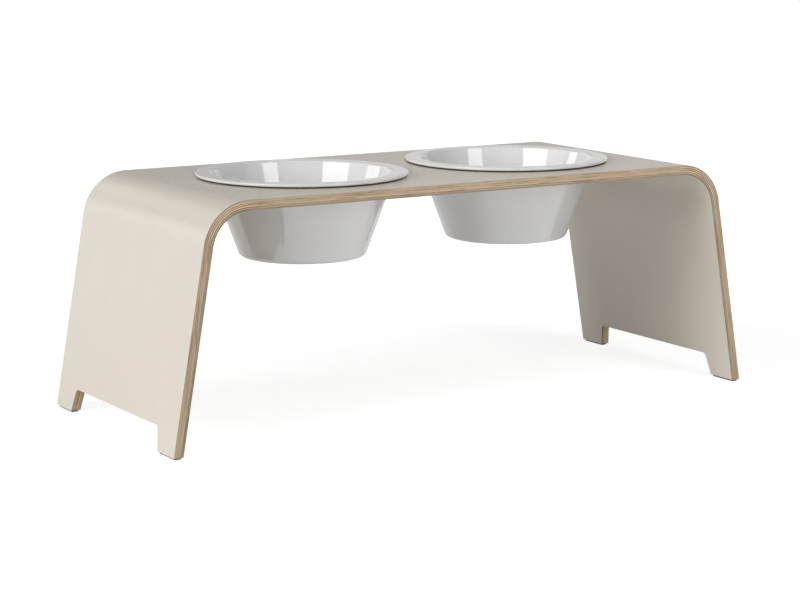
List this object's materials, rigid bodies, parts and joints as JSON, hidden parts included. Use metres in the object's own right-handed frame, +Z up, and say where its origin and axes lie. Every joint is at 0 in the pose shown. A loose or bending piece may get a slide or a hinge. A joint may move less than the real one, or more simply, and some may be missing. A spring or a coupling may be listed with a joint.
{
  "type": "dog feeding station",
  "caption": "Low bent plywood bench with cream laminate faces and leaning notched legs, whose top holds glazed feeding bowls that hang by their rims and lift out for washing.",
  "frame": {"origin": "on the floor under the middle of the bench, at the underside of the foot pads", "axes": "+X along the bench to the right, +Y to the back, +Z up"},
  "size_m": [0.6, 0.24, 0.2155],
  "materials": {
    "laminate": "fine matt texture",
    "veneer_across": "bare, grain across the bench",
    "veneer_along": "bare, grain along the bench",
    "glaze": "glossy glaze",
    "soft_ring": "matt",
    "foot_pad": "matt"
  },
  "bodies": {
    "bench": {"outer_laminate": "laminate", "veneer_1": "veneer_across", "veneer_2": "veneer_along", "veneer_3": "veneer_across", "veneer_4": "veneer_along", "veneer_5": "veneer_across", "veneer_6": "veneer_along", "veneer_7": "veneer_across", "veneer_8": "veneer_along", "veneer_9": "veneer_across", "inner_laminate": "laminate", "front_left_foot_pad": "foot_pad", "front_right_foot_pad": "foot_pad", "back_left_foot_pad": "foot_pad", "back_right_foot_pad": "foot_pad"},
    "left_ring": {"left_bowl_ring": "soft_ring"},
    "left_bowl": {"left_bowl": "glaze"},
    "right_ring": {"right_bowl_ring": "soft_ring"},
    "right_bowl": {"right_bowl": "glaze"}
  },
  "joints": [
    {"name": "left_bowl_lift", "type": "slide", "parent": "bench", "child": "left_ring", "axis": [0, 0, 1], "range_m": [0, 0.1]},
    {"name": "left_bowl_turn", "type": "hinge", "parent": "left_ring", "child": "left_bowl", "pos_m": [-0.11, 0, 0.2129], "axis": [0, 0, 1], "continuous": true},
    {"name": "right_bowl_lift", "type": "slide", "parent": "bench", "child": "right_ring", "axis": [0, 0, 1], "range_m": [0, 0.1]},
    {"name": "right_bowl_turn", "type": "hinge", "parent": "right_ring", "child": "right_bowl", "pos_m": [0.11, 0, 0.2129], "axis": [0, 0, 1], "continuous": true}
  ]
}
